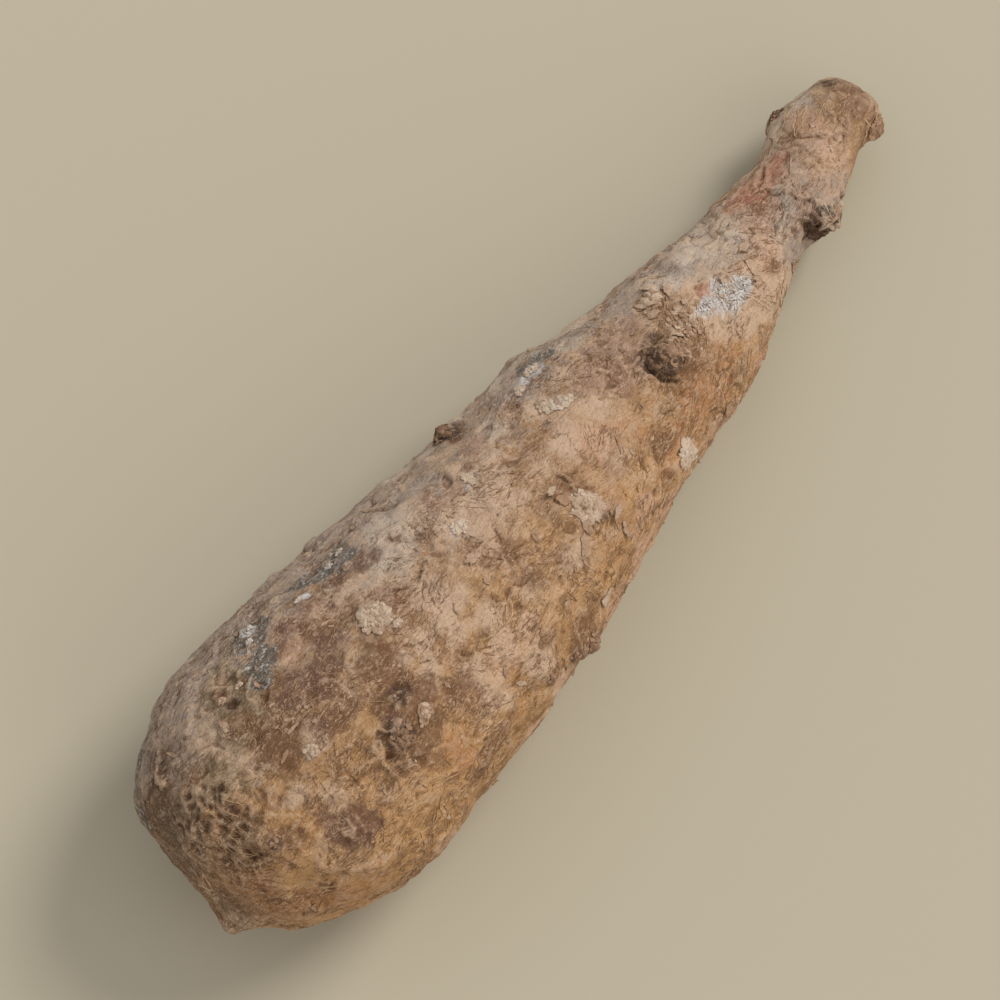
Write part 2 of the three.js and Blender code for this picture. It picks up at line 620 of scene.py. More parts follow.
def crack(line, width, depth, lift, dark=0.6):
    """A groove through named places, wandering a little, with its left side lifted and painted shade
    inside.
    """
    line = [on_skin(along, around) for along, around in line]
    near = np.zeros(len(places), bool)
    for place, _ in line:
        near |= np.linalg.norm(places - np.array(place), axis=1) < CRACK_REACH * MM
    off, side = distance_to_line(places[near], line)
    off = off * side + WANDER * MM * waves(places[near], 5.0, 3, seed=depth)
    groove = np.exp(-((off / (width * MM)) ** 2))
    groove *= smooth_step(waves(places[near], 4.0, 2, seed=lift), -0.45, 0.1)
    edge = np.exp(-(((off - 1.8 * width * MM) / (1.3 * width * MM)) ** 2))
    places[near] += ways[near] * ((edge * lift - groove * depth) * MM)[:, None]
    hollow_shade[near] = np.maximum(hollow_shade[near], dark * groove)


def pit(along, around, size, depth):
    """A small hole in the bark, with painted shade inside."""
    spot = Spot(along, around)
    raise_spot(spot, size, size, -depth, 0.2)
    _, _, off = spot.measure(places)
    hollow_shade[:] = np.maximum(hollow_shade, np.exp(-((off / (0.7 * size * MM)) ** 2)))


# %% Cracks, creases and pits
# the places that it passes, width, depth, lift of one side, painted shade inside
CRACKS = [
    ([(297, 66), (298, 75), (301, 86), (302, 99), (304, 116), (304, 132), (301, 144)], 0.6, 1.0, 1.0, 0.8),
    ([(304, 38), (300, 52), (297, 62)], 0.6, 0.7, 0.5),
    ([(207, 78), (211, 86), (216, 90), (221, 91)], 0.5, 0.6, 0.8),
    ([(171, 97), (172, 105), (170, 110), (166, 115)], 0.5, 1.0, 1.0),
    ([(149, 87), (145, 92), (142, 98)], 0.5, 0.6, 0.5),
    ([(122, 78), (116, 83), (110, 86), (106, 85)], 0.5, 0.8, 0.7),
    ([(117, 101), (114, 106)], 0.5, 0.6, 0.4),
    ([(165, 73), (163, 80)], 0.5, 0.6, 0.4),
    ([(263, 95), (260, 106)], 0.5, 1.0, 0.8),
    ([(264, 113), (268, 120), (269, 130)], 0.5, 0.9, 0.6),
    ([(26, 38), (22, 42), (18, 50)], 0.7, 1.1, 1.4),
    ([(219, 98), (220, 108), (223, 116)], 1.0, 1.2, 0.5, 1.0),
    ([(282, 84), (278, 96)], 0.5, 0.6, 0.4),
    ([(330, 96), (326, 112), (327, 128)], 0.5, 0.6, 0.4),
    ([(315, 48), (318, 65), (321, 84), (324, 98)], 0.6, 0.8, 0.6, 0.5),
    ([(312, 50), (314, 62), (316, 74)], 0.5, 0.6, 0.4, 0.4),
]
for line, *manner in CRACKS:
    crack(line, *manner)
pit(50, 60, 2.6, 1.4)
pit(67, 121, 2.2, 1.4)

# Below the lip at the neck the skin is hollow, with a dark gap of painted shade along it.
raise_spot(Spot(298, 157), 2.6, 5.0, -1.0)
raise_spot(Spot(307, 158), 2.6, 2.6, -1.0, 0.0)
crack([(295, 161), (298, 157), (301, 155), (305, 158)], 1.1, 1.4, 0.3, 0.9)
pit(305, 140, 1.0, 1.0)
print(f"drew {len(CRACKS) + 1} cracks and 3 pits")

# %% [markdown]
# Near the tip of the fat end the bark is pocked like a net: shallow pits in rows with pale
# rims. Cells give the net, and a soft window keeps it in its place.

# %% Pocked bark near the tip
POCK_DEPTH = 1.1
POCK_RIM = 0.4

window = Spot(16, 92).measure(places)
window = smooth_step(1.25 - np.hypot(window[0] / (15 * MM), window[1] / (17 * MM)), 0.0, 0.4)
pocks = window > 0
seed_off, _, _ = cells(swirled(places[pocks], 9, 4, 6.0), 2.9, stretch=(1, 1.3, 1.3), seed=4.0)
bowl = smooth_step(0.62 - seed_off, 0, 0.45)
places[pocks] -= ways[pocks] * (window[pocks] * (POCK_DEPTH * bowl - POCK_RIM) * MM)[:, None]
# painted shade in the bowls of the pocks
hollow_shade[pocks] = np.maximum(hollow_shade[pocks], 0.6 * window[pocks] * smooth_step(bowl, 0.5, 0.95))
print(f"hollows reach {np.count_nonzero(hollow_shade > 0.3)} points")

# %% Put the sculpted shape back
places[:, 2] = np.maximum(places[:, 2], 0)
move_points(skin.data, places)
ways = normals_of(skin.data)
skin_tree = tree_of(skin)
print(f"the sculpted skin is {np.ptp(places[:, 2]) / MM:.1f} mm high")

# %% [markdown]
# Dips get painted shade and ridges a painted highlight. To paint that we measure it: each
# point is compared with the average of the skin round it.

# %% Dips and ridges
links = np.empty(len(skin.data.edges) * 2, int)
skin.data.edges.foreach_get("vertices", links)
first, second = links.reshape(-1, 2).T
neighbours = np.bincount(links, minlength=len(places))


def averaged(values, rounds):
    """The values blurred over the skin, a ring of neighbours at a time."""
    for _ in range(rounds):
        total = np.bincount(first, values[second], len(values))
        total += np.bincount(second, values[first], len(values))
        values = 0.3 * values + 0.7 * total / neighbours
    return values


def dips(rounds):
    """How far the skin lies below its own average, in mm."""
    mean = np.stack([averaged(axis, rounds) for axis in places.T], axis=1)
    return ((mean - places) * ways).sum(axis=1) / MM


fine_dips = dips(5)
broad_dips = dips(45)
print(f"fine dips spread {fine_dips.std():.2f} mm, broad ones {broad_dips.std():.2f} mm")

# %% [markdown]
# ## Painting by zones
#
# The bark isn't one colour. Each kind of patch gets a soft field on the mesh, 1 in its
# middle and falling to 0 past its edge, and the shader breaks the edge up with noise.

# %% Zones
# kind: along, around, half length, half width, strength, turn
PATCHES = {
    # Gold on the right flank is partly a painted warm bounce light.
    "gold": [
        (15, 114, 6, 5, 0.9), (79, 158, 8, 6, 0.8), (55, 152, 55, 26, 1.0), (20, 140, 22, 22, 0.9),
        (100, 150, 34, 16, 0.7), (150, 150, 26, 12, 0.8), (192, 142, 16, 12, 0.8),
        (60, 116, 24, 14, 0.7), (30, 116, 14, 12, 0.8), (160, 112, 12, 7, 0.6),
        (291, 150, 9, 9, 0.9),
    ],
    "rust": [
        (84, 150, 6, 5, 0.8), (84, 140, 6, 5, 0.7), (251, 174, 6, 5, 0.7), (287, 140, 6, 6, 0.9),
        (224, 139, 12, 8, 0.8), (208, 146, 12, 9, 0.6), (238, 142, 10, 8, 0.6),
        (22, 158, 20, 9, 0.8), (296, 138, 9, 9, 1.0), (200, 120, 8, 8, 0.4), (12, 130, 10, 14, 0.6),
    ],
    "beige": [
        (152, 74, 11, 9, 0.8), (172, 86, 7, 5, 0.4), (138, 78, 9, 8, 0.8), (54, 97, 4, 3, 1.0),
        (38, 64, 6, 5, 1.0), (26, 58, 5, 5, 0.6), (264, 80, 10, 7, 0.4), (253, 82, 6, 5, 0.8),
        (3, 170, 5, 10, 0.8), (83, 87, 4, 4, 0.7), (122, 138, 8, 6, 0.4), (120, 114, 5, 5, 0.9),
        (118, 129, 6, 5, 0.9), (104, 126, 6, 5, 0.9), (219, 24, 8, 6, 1.0), (112, 101, 5, 4, 1.0),
        (107, 146, 5, 5, 0.6), (256, 116, 12, 10, 0.5), (274, 160, 10, 10, 1.0),
        (237, 94, 5, 4, 0.9), (265, 134, 6, 6, 1.0), (122, 146, 6, 5, 0.9), (104, 140, 7, 6, 0.9),
        (68, 136, 5, 4, 0.4), (156, 128, 6, 5, 0.9), (246, 92, 6, 4, 0.9), (198, 93, 5, 5, 0.9),
        (252, 120, 7, 6, 0.9), (287, 114, 5, 4, 0.5), (40, 106, 5, 4, 0.7), (94, 64, 5, 4, 0.9),
        (101, 102, 4, 4, 0.8), (47, 114, 4, 4, 0.7), (186, 66, 5, 4, 0.9), (182, 89, 6, 5, 0.9),
        (114, 91, 6, 5, 0.9), (110, 109, 5, 5, 0.8), (97, 111, 4, 4, 0.8), (39, 84, 5, 5, 0.7),
        (158, 70, 6, 5, 0.9), (320, 116, 2, 2, 0.9), (111, 92, 4, 3, 0.5), (39, 75, 4, 4, 0.8),
        (118, 100, 5, 4, 0.9), (256, 136, 5, 5, 0.9), (58, 95, 4, 4, 0.8), (93, 101, 4, 4, 0.8),
        (157, 89, 4, 4, 0.8), (73, 94, 4, 4, 0.7), (87, 77, 4, 4, 0.6), (124, 171, 5, 4, 0.9),
        (127, 106, 4, 3, 0.4), (199, 65, 5, 4, 0.9), (92, 116, 4, 4, 0.9), (155, 69, 5, 4, 0.9),
        (270, 107, 6, 5, 0.8), (255, 121, 6, 5, 0.9), (107, 180, 5, 4, 0.9), (171, 178, 6, 4, 0.8),
        (40, 86, 4, 4, 0.8), (126, 168, 6, 4.5, 1.4), (94, 112, 4, 4, 0.9), (247, 112, 5, 4, 0.9),
        (57, 97, 4, 4, 1.0), (128, 132, 5, 4, 0.7), (138, 122, 5, 4, 0.6), (36, 194, 6, 5, 0.9),
        (284, 93, 5, 4, 0.7), (294, 133, 4, 4, 0.6),
    ],
    "ash": [
        (249, 62, 5, 4, 0.9), (118, 56, 5, 4, 0.9), (220, 25, 5, 4, 0.8), (245, 45, 6, 4, 0.9),
        (211, 49, 5, 4, 0.9), (272, 50, 14, 7, 1.6), (118, 66, 8, 7, 1.0), (172, 50, 8, 6, 0.9),
        (330, 24, 9, 7, 1.4), (310, 20, 10, 8, 1.1), (130, 60, 8, 6, 0.9), (122, 49, 6, 5, 1.0),
        (198, 30, 8, 5, 0.8), (220, 20, 10, 6, 1.2), (171, 49, 6, 5, 0.8), (152, 18, 12, 6, 1.0),
        (186, 28, 8, 5, 0.9),
    ],
    # Those round 170 to 183, along the right rim, are painted light where the rim turns away from the key
    # lamp.
    "rose": [
        (185, 150, 6, 5, 0.8), (63, 183, 6, 5, 1.1), (156, 171, 6, 5, 0.8), (200, 104, 10, 8, 0.4),
        (190, 101, 7, 6, 0.8), (121, 132, 12, 8, 0.5), (84, 68, 5, 5, 0.5), (317, 110, 14, 16, 0.5),
        (254, 88, 3, 3, 0.9), (190, 172, 10, 6, 1.0), (223, 180, 8, 6, 1.0), (174, 174, 9, 6, 1.0),
        (126, 170, 7, 5, 0.9), (157, 180, 10, 6, 1.0), (75, 64, 5, 4, 0.8), (323, 70, 6, 6, 0.7),
        (107, 181, 6, 5, 0.8), (280, 112, 8, 9, 0.6),
    ],
    "mauve": [
        (212, 80, 13, 11, 0.8), (224, 66, 9, 8, 0.5), (214, 94, 6, 6, 0.5), (166, 47, 6, 4, 0.8),
        (180, 51, 6, 4, 0.8), (137, 61, 6, 4, 0.8), (86, 60, 9, 7, 0.9), (308, 47, 7, 4, 0.6),
        (320, 62, 10, 7, 0.4), (188, 118, 7, 5, 0.6), (343, 100, 6, 16, 0.5), (290, 82, 8, 7, 1.2),
        (104, 78, 6, 5, 0.9), (253, 91, 4, 4, 0.5), (163, 52, 6, 4, 0.9), (78, 55, 6, 4, 0.8),
        (148, 65, 4, 3, 0.7), (122, 72, 4, 3, 0.5),
    ],
    "salmon": [
        (294, 58, 9, 4.5, 1.2, -14), (302, 50, 7, 3, 1.0), (254, 88, 3.6, 2.8, 0.7),
    ],
    # Grey on the left flank is partly a painted cool sky reflection.
    "dust_and_sky_reflection": [
        (274, 56, 24, 13, 1.2), (212, 40, 16, 8, 1.0), (188, 46, 14, 8, 0.9), (131, 44, 18, 7, 0.8),
        (248, 46, 20, 8, 1.0), (328, 50, 10, 6, 0.6), (40, 24, 30, 9, 1.0),
    ],
    "olive": [
        (54, 58, 13, 9, 0.9), (47, 68, 8, 7, 1.4), (68, 42, 14, 6, 0.6), (12, 62, 14, 14, 0.8),
        (34, 90, 8, 6, 0.5), (152, 148, 8, 5, 0.4), (50, 22, 26, 6, 0.5), (29, 76, 8, 7, 1.0),
        (51, 50, 7, 5, 1.4), (320, 8, 8, 6, 0.9),
    ],
    "brown": [
        (84, 111, 8.5, 8, 1.9), (87, 96, 7, 6, 1.1), (48, 86, 8, 7, 1.7), (97, 134, 7, 5, 0.6),
        (53, 117, 7, 5, 0.4), (66, 96, 9, 6, 0.95), (142, 102, 6, 4, 0.7), (97, 126, 6, 5, 1.2),
        (160, 104, 4, 4, 0.7), (134, 88, 4, 4, 0.6), (141, 119, 4, 4, 0.7), (34, 101, 5, 4, 0.6),
        (36, 129, 5, 4, 0.6), (72, 59, 4, 3, 0.7), (85, 161, 6, 4, 0.8), (51, 157, 6, 4, 0.6),
        (107, 117, 4, 3, 0.7), (134, 98, 4, 3, 0.7), (51, 53, 4, 3, 0.8), (27, 67, 4, 4, 0.7),
        (35, 97, 4, 4, 0.6), (37, 137, 5, 4, 0.6), (161, 108, 4, 3, 0.8), (339, 90, 8, 14, 0.6),
        (291, 77, 4, 3, 0.8), (174, 67, 4, 3, 0.4), (195, 50, 4, 3, 0.7), (58, 130, 5, 4, 0.6),
        (131, 142, 5, 4, 0.6), (4, 163, 4, 6, 0.7), (128, 71, 4, 3, 0.6), (24, 92, 4, 4, 0.8),
        (173, 111, 4, 3, 0.7), (91, 49, 4, 3, 0.7), (163, 34, 3, 3, 0.7), (169, 102, 7, 4, 0.7),
        (162, 112, 7, 6, 0.5), (61, 71, 6, 5, 0.8), (233, 117, 6, 6, 0.8), (95, 71, 7, 5, 0.6),
        (109, 83, 4, 3, 0.6), (85, 66, 6, 5, 0.8), (226, 124, 8, 6, 0.3), (27, 114, 7, 6, 0.7),
        (97, 156, 8, 5, 0.8), (76, 135, 5, 5, 0.6), (172, 78, 5, 4, 0.6), (81, 124, 8, 6, 1.4),
        (136, 162, 5, 5, 1.2), (139, 169, 5, 5, 1.6), (122, 157, 3, 3, 1.0), (42, 139, 7, 5, 0.6),
        (126, 111, 3, 3, 0.5), (74, 126, 8, 6, 1.4), (65, 106, 5, 5, 0.5), (152, 124, 5, 4, 0.6),
        (87, 94, 6, 5, 1.2), (54, 110, 5, 5, 0.5), (46, 70, 6, 5, 0.8), (278, 130, 4, 5, 0.6),
        (143, 156, 8, 6, 0.9), (203, 136, 6, 6, 0.7), (73, 84, 6, 5, 0.8), (198, 154, 5, 5, 0.6),
    ],
    # Painted shade on the fat end, which faces away from the key lamp.
    "fat_end_shade": [
        (25, 43, 8, 8, 0.7), (14, 82, 10, 12, 0.4), (8, 36, 12, 24, 1.2), (20, 102, 7, 7, 1.0),
        (28, 26, 16, 6, 0.5),
    ],
    # The one at 16, 20, on the left rim of the fat end, is painted shade with a painted cool sky
    # reflection.
    "slate": [
        (104, 43, 9, 5, 1.2), (97, 41, 6, 4, 1.0), (71, 44, 6, 5, 1.4), (66, 56, 6, 3, 1.2),
        (61, 62, 4, 3, 0.9), (200, 42, 10, 4, 0.7), (16, 20, 20, 6, 0.7), (82, 32, 14, 3, 0.4),
        (305, 140, 2.0, 1.8, 1.3),
    ],
    "russet": [
        (102, 52, 5, 4, 0.7), (79, 54, 5, 3, 0.6), (80, 78, 9, 5, 1.1, 25), (68, 80, 9, 7, 1.1),
        (60, 92, 5, 7, 0.6), (44, 131, 8, 6, 0.9), (76, 116, 5, 5, 0.8), (112, 56, 6, 4, 0.8),
    ],
    "umber": [
        # The one at 222, 99, on the knob's lower-left side, and the one at 300, 159, under the lip, are
        # painted shade.
        (226, 101, 5.5, 7, 0.7), (222, 99, 4, 6, 1.0), (162, 26, 4.5, 4.5, 1.1),
        (84, 109, 5, 4, 0.8), (341, 48, 2.5, 3, 1.0), (71, 113, 4, 3, 0.6), (341, 184, 2, 3, 0.5),
        (73, 119, 5, 4, 0.9), (140, 172, 4, 3, 0.8), (322, 17, 4, 3, 0.8), (50, 61, 3, 2.5, 0.9),
        (24, 112, 3, 3, 0.6), (20, 44, 5, 2, 0.6), (300, 159, 4, 3.6, 0.9),
    ],
    "chalk": [
        (255, 118, 4, 3, 0.6), (258, 107, 6, 5.5, 0.9), (263, 112, 5, 4, 0.8),
        (250, 98, 5, 2.6, 0.8), (253, 108, 5, 4, 0.6), (153, 66, 3.5, 2.6, 0.5),
        (138, 79, 4.5, 3.6, 0.4), (194, 48, 9, 2.4, 0.5), (72, 42, 2.4, 2.4, 1.0),
        (104, 43, 4, 2, 0.5), (89, 50, 4, 1.6, 0.6),
    ],
}
zones = {kind: np.zeros(len(places)) for kind in PATCHES}
ragged = 0.42 * waves(places, 8, 4, seed=14.0)


def paint_zone(kind, along, around, length, width, strength, turn=0):
    """A patch of one kind: half strength at its edge, in mm."""
    ahead, aside, off = Spot(along, around, turn).measure(places)
    near = off < 2.2 * max(length, width) * MM
    reach = np.hypot(ahead[near] / (length * MM), aside[near] / (width * MM)) + ragged[near]
    field = strength * np.clip(1.5 - reach, 0, 1)
    zones[kind][near] = np.maximum(zones[kind][near], field)


for kind, patches in PATCHES.items():
    for patch in patches:
        paint_zone(kind, *patch)

# The left flank is dusty and gets a painted cool sky reflection, the right one is golden
# with a painted warm bounce light, and the tip of the fat end is darker with painted shade.
zones["dust_and_sky_reflection"] = np.maximum(zones["dust_and_sky_reflection"], np.clip(0.6 + 1.2 * (side - 0.28), 0, 0.9))
zones["gold"] = np.maximum(zones["gold"], np.clip(0.2 + 1.2 * -side, 0, 0.6))
zones["fat_end_shade"] = np.maximum(zones["fat_end_shade"], np.clip(0.7 - reach / 0.1, 0, 0.7))

fields = {**zones, "hollow_shade": hollow_shade, "matted": matted, "fine_dips": fine_dips, "broad_dips": broad_dips}
for name, field in fields.items():
    layer = skin.data.attributes.new(name, "FLOAT", "POINT")
    layer.data.foreach_set("value", field.astype(np.float32))
print(f"painted {sum(len(patches) for patches in PATCHES.values())} patches of {len(PATCHES)} kinds")

# %% [markdown]
# The skin now has more faces than it needs. Decimate takes them where it is flat and
# leaves the cracks and warts sharp. The painted fields ride along.

# %% Thin out
MOST_TRIANGLES = 197000


def triangles_of(mesh):
    """How many triangles a mesh's faces come to."""
    return sum(len(face.vertices) - 2 for face in mesh.polygons)


triangles = triangles_of(skin.data)
apply_modifier(skin, "DECIMATE", ratio=MOST_TRIANGLES / triangles)
print(f"{triangles} triangles thinned to {triangles_of(skin.data)}")

# %% [markdown]
# ## The bark's finish
#
# Bark is dry and dull. Its colour comes from the zones, from layers of mottling at
# several sizes, from painted shade in the dips, and from a mat of fine fibres. The fibres
# are stretched noise on swirled coordinates, so they lie in tufts that turn this way and that.

# %% Shader helpers


class Shader:
    """Short names for the nodes of one material."""

    def __init__(self, name):
        self.material = bpy.data.materials.new(name)
        self.material.use_nodes = True
        self.tree = self.material.node_tree
        self.bsdf = self.tree.nodes["Principled BSDF"]
        self.place = self.add("ShaderNodeTexCoord").outputs["Object"]
        self.tone = None

    def add(self, kind, **settings):
        """A new node with those settings."""
        node = self.tree.nodes.new(kind)
        for name, value in settings.items():
            setattr(node, name, value)
        return node

    def join(self, value, socket):
        """Links a socket to another node's output, or sets it to a plain value."""
        if isinstance(value, bpy.types.NodeSocket):
            self.tree.links.new(value, socket)
        else:
            socket.default_value = value

    def field(self, name):
        """A painted or measured value that the mesh carries."""
        return self.add("ShaderNodeAttribute", attribute_name=name).outputs["Fac"]

    def math(self, operation, first, second=0.0, third=0.0):
        """One sum, of values or of sockets."""
        node = self.add("ShaderNodeMath", operation=operation)
        for value, socket in zip((first, second, third), node.inputs):
            self.join(value, socket)
        return node.outputs[0]

    def noise(self, size, detail=4.0, rough=0.55, warp=0.0, place=None, output="Fac"):
        """Noise with clumps of that size in mm."""
        node = self.add("ShaderNodeTexNoise")
        self.join(place or self.place, node.inputs["Vector"])
        node.inputs["Scale"].default_value = 1 / (size * MM)
        node.inputs["Detail"].default_value = detail
        node.inputs["Roughness"].default_value = rough
        node.inputs["Distortion"].default_value = warp
        return node.outputs[output]

    def swirled(self, size, amount):
        """Coordinates pushed about by slow noise, so that no pattern runs straight."""
        drift = self.add("ShaderNodeVectorMath", operation="MULTIPLY_ADD")
        self.join(self.noise(size, 2, output="Color"), drift.inputs[0])
        drift.inputs[1].default_value = [amount * MM] * 3
        self.join(self.place, drift.inputs[2])
        return drift.outputs[0]

    def step(self, value, low, high):
        """0 at low, 1 at high and a soft rise between; low may be the larger one."""
        node = self.add("ShaderNodeMapRange", interpolation_type="SMOOTHSTEP")
        self.join(value, node.inputs["Value"])
        node.inputs["From Min"].default_value = low
        node.inputs["From Max"].default_value = high
        return node.outputs["Result"]

    def mix(self, share, first, second):
        """The first colour where the share is 0, the second where it is 1."""
        node = self.add("ShaderNodeMix", data_type="RGBA")
        self.join(share, node.inputs["Factor"])
        self.join(first, node.inputs[6])
        self.join(second, node.inputs[7])
        return node.outputs[2]

    def part(self, share, amount):
        """That much of a share."""
        return self.math("MULTIPLY", share, amount)

    def coat(self, share, tint, amount=1.0):
        """Lays a tint over the colour so far, where the share says."""
        self.tone = self.mix(self.part(share, amount), self.tone, tint)

    def turned(self, turn, stretch, place=None, shift=0.0):
        """Coordinates turned by degrees about each axis, scaled and moved aside."""
        node = self.add("ShaderNodeMapping")
        self.join(place or self.place, node.inputs["Vector"])
        node.inputs["Location"].default_value = [shift * MM] * 3
        node.inputs["Rotation"].default_value = [math.radians(angle) for angle in turn]
        node.inputs["Scale"].default_value = stretch
        return node.outputs["Vector"]

    def threads(self, value, width):
        """Thin lines where a noise passes through its middle value."""
        off = self.math("ABSOLUTE", self.math("SUBTRACT", value, 0.5))
        return self.step(off, width, 0.3 * width)

    def patch(self, name, edge, soft, amount=1.6):
        """A zone's field with a ragged edge, from 0 to 1."""
        field = self.field(name)
        uneven = self.math("MULTIPLY", self.math("SUBTRACT", edge, 0.5), amount)
        share = self.step(self.math("ADD", field, uneven), 0.5 - soft, 0.5 + soft)
        return self.math("MULTIPLY", share, self.step(field, 0.02, 0.3))

    def bumped(self, height, distance):
        """Fine relief of that many mm, too small to model."""
        node = self.add("ShaderNodeBump")
        node.inputs["Strength"].default_value = 1.0
        node.inputs["Distance"].default_value = distance * MM
        self.join(height, node.inputs["Height"])
        self.join(node.outputs["Normal"], self.bsdf.inputs["Normal"])

    def finish(self, roughness, shine):
        """Hands over the colour, and says how rough and how shiny the surface is."""
        self.join(self.tone, self.bsdf.inputs["Base Color"])
        self.join(roughness, self.bsdf.inputs["Roughness"])
        self.join(shine, self.bsdf.inputs["Specular IOR Level"])


# %% Noises of the bark, from broad to fine
bark = Shader("bark")
drift = bark.swirled(9, 8)
fine_drift = bark.swirled(4.5, 4)
mottle = bark.noise(22, 5, 0.62, 0.6)
hue = bark.noise(30, 4, 0.6, 0.8, bark.turned((0, 0, 0), (1, 1, 1), shift=90))
blotch = bark.noise(8, 4, 0.6, 0.5, drift)
speck = bark.noise(2.0, 4, 0.62, 0.3, drift)
grit = bark.noise(0.95, 3, 0.7, 0.3)
grain = bark.noise(0.5, 2, 0.6)
edge = bark.noise(4, 6, 0.66, 0.5)

# %% Fibres in the bark: short strokes that run two ways, and pale threads in tufts
STROKE = (0.2, 1.0, 1.0)
THREAD = (0.3, 1.0, 1.0)

along_strokes = bark.noise(0.6, 3, 0.6, 0.2, bark.turned((0, 20, 18), STROKE, fine_drift))
cross_strokes = bark.noise(0.6, 3, 0.6, 0.2, bark.turned((20, -15, -56), STROKE, fine_drift, 40))
which_way = bark.step(bark.noise(8, 3, 0.6), 0.46, 0.54)
strokes = bark.mix(which_way, along_strokes, cross_strokes)
winding = bark.noise(2.2, 2, 0.5, 0.8, bark.turned((0, 0, 40), THREAD, drift, 70))
tufts = bark.step(bark.noise(5, 3, 0.6, 0.5, drift), 0.48, 0.6)
pale_threads = bark.part(bark.threads(winding, 0.03), tufts)

# %% [markdown]
# The colour is built up in coats, as on a painted prop: a ground of two tans, then light
# and shaded mottling, then a coat for each kind of zone. A frayed noise of strokes and
# blotches goes over them all, so that no zone looks flat.

# %% Ground and mottling
DARK = colour(104, 72, 48)
PALE = colour(214, 182, 152)
GREY_TAN = colour(174, 139, 111)
GOLD_TAN = colour(171, 133, 94)
LIGHT_TAN = colour(204, 172, 144)

fuzzy = bark.patch("matted", edge, 0.3, 2.0)
bark.tone = bark.mix(bark.step(hue, 0.4, 0.6), GREY_TAN, GOLD_TAN)
bark.coat(bark.step(mottle, 0.5, 0.62), LIGHT_TAN, 0.6)
bark.coat(bark.step(mottle, 0.47, 0.37), colour(128, 94, 70), 0.65)
bark.coat(fuzzy, colour(140, 104, 74), 0.42)
print(f"ground and mottling take {len(bark.tree.nodes)} shader nodes")

# %% A coat for each zone
# kind, tint, softness of its edge, how much of it shows
ZONE_TINTS = [
    # gold is partly a painted warm bounce light, and the grey of the dusty left flank partly a painted
    # cool sky reflection
    ("gold", colour(187, 139, 86), 0.4, 0.8),
    ("rust", colour(178, 124, 82), 0.35, 0.75),
    ("dust_and_sky_reflection", colour(160, 148, 138), 0.35, 0.85),
    ("beige", colour(203, 174, 148), 0.35, 0.75),
    ("ash", colour(198, 182, 164), 0.35, 0.8),
    ("rose", colour(202, 158, 128), 0.3, 0.75),
    ("mauve", colour(150, 116, 98), 0.3, 0.75),
    ("olive", colour(124, 106, 80), 0.3, 0.8),
    ("brown", colour(112, 76, 48), 0.35, 0.8),
    # painted shade on the fat end
    ("fat_end_shade", colour(88, 68, 50), 0.3, 0.7),
    ("salmon", colour(176, 118, 94), 0.35, 0.8),
]
for kind, tint, softness, share in ZONE_TINTS:
    bark.coat(bark.patch(kind, edge, softness), tint, share)
print(f"{len(ZONE_TINTS)} kinds of zone have their coat")

# %% Frayed light and dark strokes, more of one kind in some zones
FRAY_BIAS = {"beige": 0.07, "ash": 0.06, "rose": 0.05, "brown": -0.08, "fat_end_shade": -0.05}

frayed = bark.math("MULTIPLY_ADD", strokes, 0.55, bark.math("SUBTRACT", blotch, 0.275))
for kind, bias in FRAY_BIAS.items():
    frayed = bark.math("MULTIPLY_ADD", bark.field(kind), bias, frayed)
bark.coat(bark.step(frayed, 0.51, 0.66), LIGHT_TAN, 0.45)
bark.coat(bark.step(frayed, 0.49, 0.34), colour(112, 80, 54), 0.62)

# %% [markdown]
# Stained patches are strongest in the fine dips, as painted shade. Over the whole root
# ridges get a painted highlight and dips painted shade, in fine relief and in broad.

# %% Stains, strongest in the fine dips as painted shade
# kind, tint, softness of its edge, how much of it shows, how much of that on ridges
STAINS = [
    ("russet", colour(104, 74, 60), 0.25, 0.85, 0.7),
    ("slate", colour(84, 84, 80), 0.2, 0.85, 0.7),
    ("umber", colour(62, 46, 38), 0.25, 0.95, 0.6),
]

fine_relief = bark.field("fine_dips")
crevice_shade = bark.step(fine_relief, -0.16, 0.1)
for kind, tint, softness, share, on_ridges in STAINS:
    # A stain is real colour; it shows in full in the fine dips, which is painted shade, and only by
    # on_ridges elsewhere.
    uneven = bark.math("ADD", bark.part(crevice_shade, 1 - on_ridges), on_ridges)
    uneven = bark.part(uneven, bark.patch(kind, edge, softness, 1.1))
    bark.coat(uneven, tint, share)
print(f"{len(STAINS)} kinds of stain")

# %% Strokes, grit, threads, specks, painted highlight on ridges and painted shade in dips
# painted highlight on the fine ridges
bark.coat(bark.step(fine_relief, -0.05, -0.3), PALE, 0.25)
strength = bark.math("ADD", bark.part(fuzzy, 0.35), 0.36)
bark.coat(bark.step(strokes, 0.53, 0.7), PALE, strength)
bark.coat(bark.step(strokes, 0.47, 0.31), DARK, strength)
strength = bark.math("ADD", bark.part(fuzzy, 0.25), 0.2)
bark.coat(bark.step(grit, 0.47, 0.3), DARK, strength)
bark.coat(bark.step(grit, 0.54, 0.7), PALE, strength)
bark.coat(pale_threads, PALE, 0.35)
bark.coat(bark.step(speck, 0.6, 0.72), PALE, 0.25)
bark.coat(bark.step(speck, 0.42, 0.3), DARK, 0.3)
# painted shade in the fine dips
bark.coat(bark.step(fine_relief, 0.08, 0.3), colour(106, 70, 42), 0.4)
broad_relief = bark.field("broad_dips")
# painted shade in the broad dips, then a painted highlight on the broad ridges
bark.coat(bark.step(broad_relief, 0.15, 1.0), DARK, 0.35)
bark.coat(bark.step(broad_relief, -0.2, -1.0), PALE, 0.2)

